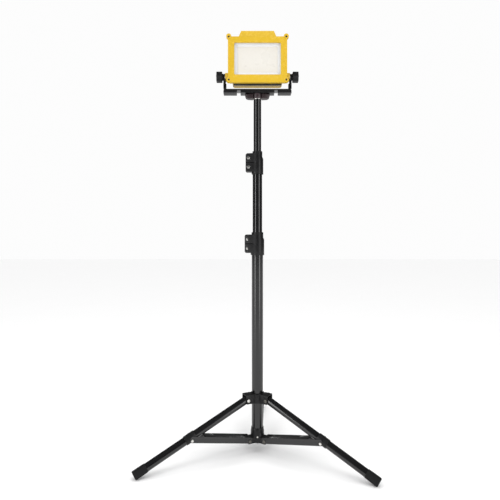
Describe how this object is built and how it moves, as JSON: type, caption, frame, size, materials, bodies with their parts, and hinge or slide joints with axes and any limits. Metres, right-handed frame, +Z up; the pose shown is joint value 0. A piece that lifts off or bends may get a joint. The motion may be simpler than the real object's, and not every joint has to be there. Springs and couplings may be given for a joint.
{
  "type": "work light on stand",
  "caption": "Flood light in a tilting yoke on a telescoping mast, with a sliding leg hub, folding legs and braces.",
  "frame": {"origin": "middle of the bounding box on the floor", "axes": "+Z up, the light faces -Y"},
  "size_m": [0.5786, 0.5184, 1.1023],
  "materials": {
    "black_paint": "gloss powder coat",
    "black_plastic": "moulded, fine texture",
    "rubber": "matt",
    "yellow_shell": "satin moulded",
    "bright_steel": "zinc plated",
    "milky_lens": "frosted",
    "white_tray": "smooth",
    "led_plate": "white coated",
    "circuit_board": "lacquered",
    "battery_wrap": "heat-shrink film"
  },
  "bodies": {
    "stand": {"lower_tube": "black_paint", "lower_hub": "black_plastic", "lower_clamp_body": "black_plastic", "lower_clamp_lower_bolt": "bright_steel", "lower_clamp_upper_bolt": "bright_steel"},
    "mid_section": {"mid_tube": "black_paint", "mid_tube_bush": "black_plastic", "upper_clamp_body": "black_plastic", "upper_clamp_lower_bolt": "bright_steel", "upper_clamp_upper_bolt": "bright_steel"},
    "upper_section": {"upper_tube": "black_paint", "upper_tube_bush": "black_plastic", "mast_adapter": "bright_steel"},
    "lower_lever": {"lower_clamp_lever": "black_plastic"},
    "upper_lever": {"upper_clamp_lever": "black_plastic"},
    "leg_hub": {"leg_hub": "black_plastic", "leg_pin_left": "bright_steel", "leg_pin_right": "bright_steel", "leg_pin_rear": "bright_steel"},
    "hub_lock": {"hub_lock_knob": "black_plastic"},
    "leg_left": {"leg_tube_left": "black_paint", "leg_foot_left": "rubber", "leg_clip_left": "black_plastic"},
    "leg_right": {"leg_tube_right": "black_paint", "leg_foot_right": "rubber", "leg_clip_right": "black_plastic"},
    "leg_rear": {"leg_tube_rear": "black_paint", "leg_foot_rear": "rubber", "leg_clip_rear": "black_plastic"},
    "brace_left": {"brace_left": "black_paint", "brace_pin_left": "bright_steel"},
    "brace_right": {"brace_right": "black_paint", "brace_pin_right": "bright_steel"},
    "brace_rear": {"brace_rear": "black_paint", "brace_pin_rear": "bright_steel"},
    "wing_nut": {"mast_wing_nut": "black_plastic"},
    "yoke": {"yoke": "black_paint", "mount_block": "black_plastic", "foot_pad_left": "black_plastic", "foot_pad_right": "black_plastic"},
    "head": {"front_bezel": "yellow_shell", "middle_frame": "black_plastic", "rear_shell": "yellow_shell", "lens_gasket": "rubber", "lens_glass": "milky_lens", "reflector": "white_tray", "led_board": "led_plate", "control_board": "circuit_board", "battery_pack": "battery_wrap", "battery_cover": "yellow_shell", "charge_socket": "black_plastic", "tilt_washer_left": "bright_steel", "tilt_washer_right": "bright_steel"},
    "power_button": {"power_button": "black_plastic"},
    "charge_flap": {"charge_flap": "rubber"},
    "knob_left": {"knob_left": "black_plastic"},
    "knob_right": {"knob_right": "black_plastic"}
  },
  "joints": [
    {"name": "mid_tube_slide", "type": "slide", "parent": "stand", "child": "mid_section", "axis": [0, 0, 1], "range_m": [-0.15, 0.22]},
    {"name": "upper_tube_slide", "type": "slide", "parent": "mid_section", "child": "upper_section", "axis": [0, 0, 1], "range_m": [-0.13, 0.2]},
    {"name": "lower_lever_turn", "type": "hinge", "parent": "stand", "child": "lower_lever", "pos_m": [-0.01811, -0.05875, 0.54925], "axis": [0, 0, 1], "range_deg": [0, 95]},
    {"name": "upper_lever_turn", "type": "hinge", "parent": "mid_section", "child": "upper_lever", "pos_m": [-0.01561, -0.05875, 0.76285], "axis": [0, 0, 1], "range_deg": [0, 95]},
    {"name": "leg_hub_slide", "type": "slide", "parent": "stand", "child": "leg_hub", "axis": [0, 0, 1], "range_m": [0, 0.22641]},
    {"name": "leg_left_fold", "type": "hinge", "parent": "leg_hub", "child": "leg_left", "pos_m": [-0.02033, -0.08608, 0.14147], "axis": [0.454, -0.891, 0], "range_deg": [-0.01, 65.81]},
    {"name": "leg_right_fold", "type": "hinge", "parent": "leg_hub", "child": "leg_right", "pos_m": [0.03502, -0.08898, 0.14147], "axis": [0.5446, 0.8387, 0], "range_deg": [-0.01, 65.81]},
    {"name": "leg_rear_fold", "type": "hinge", "parent": "leg_hub", "child": "leg_rear", "pos_m": [0.00986, -0.0396, 0.14147], "axis": [-0.9986, 0.0523, 0], "range_deg": [-0.01, 65.81]},
    {"name": "brace_left_fold", "type": "hinge", "parent": "stand", "child": "brace_left", "pos_m": [-0.01721, -0.08449, 0.0355], "axis": [-0.454, 0.891, 0], "range_deg": [-0.01, 78.33]},
    {"name": "brace_right_fold", "type": "hinge", "parent": "stand", "child": "brace_right", "pos_m": [0.03209, -0.08707, 0.0355], "axis": [-0.5446, -0.8387, 0], "range_deg": [-0.01, 78.33]},
    {"name": "brace_rear_fold", "type": "hinge", "parent": "stand", "child": "brace_rear", "pos_m": [0.00968, -0.04309, 0.0355], "axis": [0.9986, -0.0523, 0], "range_deg": [-0.01, 78.33]},
    {"name": "hub_lock_turn", "type": "hinge", "parent": "leg_hub", "child": "hub_lock", "pos_m": [0.00819, -0.07155, 0.14147], "axis": [0.891, 0.454, 0], "continuous": true},
    {"name": "wing_nut_turn", "type": "hinge", "parent": "upper_section", "child": "wing_nut", "pos_m": [0.00819, -0.07155, 0.94], "axis": [0, 0, 1], "continuous": true},
    {"name": "yoke_pan", "type": "hinge", "parent": "upper_section", "child": "yoke", "pos_m": [0.00819, -0.07155, 0.955], "axis": [0, 0, 1], "continuous": true},
    {"name": "head_tilt", "type": "hinge", "parent": "yoke", "child": "head", "pos_m": [0.00819, -0.07155, 0.99], "axis": [1, 0, 0], "range_deg": [-100, 100]},
    {"name": "knob_left_turn", "type": "hinge", "parent": "head", "child": "knob_left", "pos_m": [0.00819, -0.07155, 0.99], "axis": [1, 0, 0], "continuous": true},
    {"name": "knob_right_turn", "type": "hinge", "parent": "head", "child": "knob_right", "pos_m": [0.00819, -0.07155, 0.99], "axis": [1, 0, 0], "continuous": true},
    {"name": "power_button_press", "type": "slide", "parent": "head", "child": "power_button", "axis": [0, -1, 0], "range_m": [0, 0.0015], "stiffness_N_per_m": 400},
    {"name": "charge_flap_open", "type": "hinge", "parent": "head", "child": "charge_flap", "pos_m": [-0.02981, -0.04385, 0.9916], "axis": [1, 0, 0], "range_deg": [0, 140]}
  ],
  "couplings": [
    {"joint": "leg_left_fold", "follows": "leg_hub_slide", "rad_per_m": 5.0723},
    {"joint": "leg_right_fold", "follows": "leg_hub_slide", "rad_per_m": 5.0723},
    {"joint": "leg_rear_fold", "follows": "leg_hub_slide", "rad_per_m": 5.0723},
    {"joint": "brace_left_fold", "follows": "leg_hub_slide", "rad_per_m": 6.0372},
    {"joint": "brace_right_fold", "follows": "leg_hub_slide", "rad_per_m": 6.0372},
    {"joint": "brace_rear_fold", "follows": "leg_hub_slide", "rad_per_m": 6.0372}
  ]
}
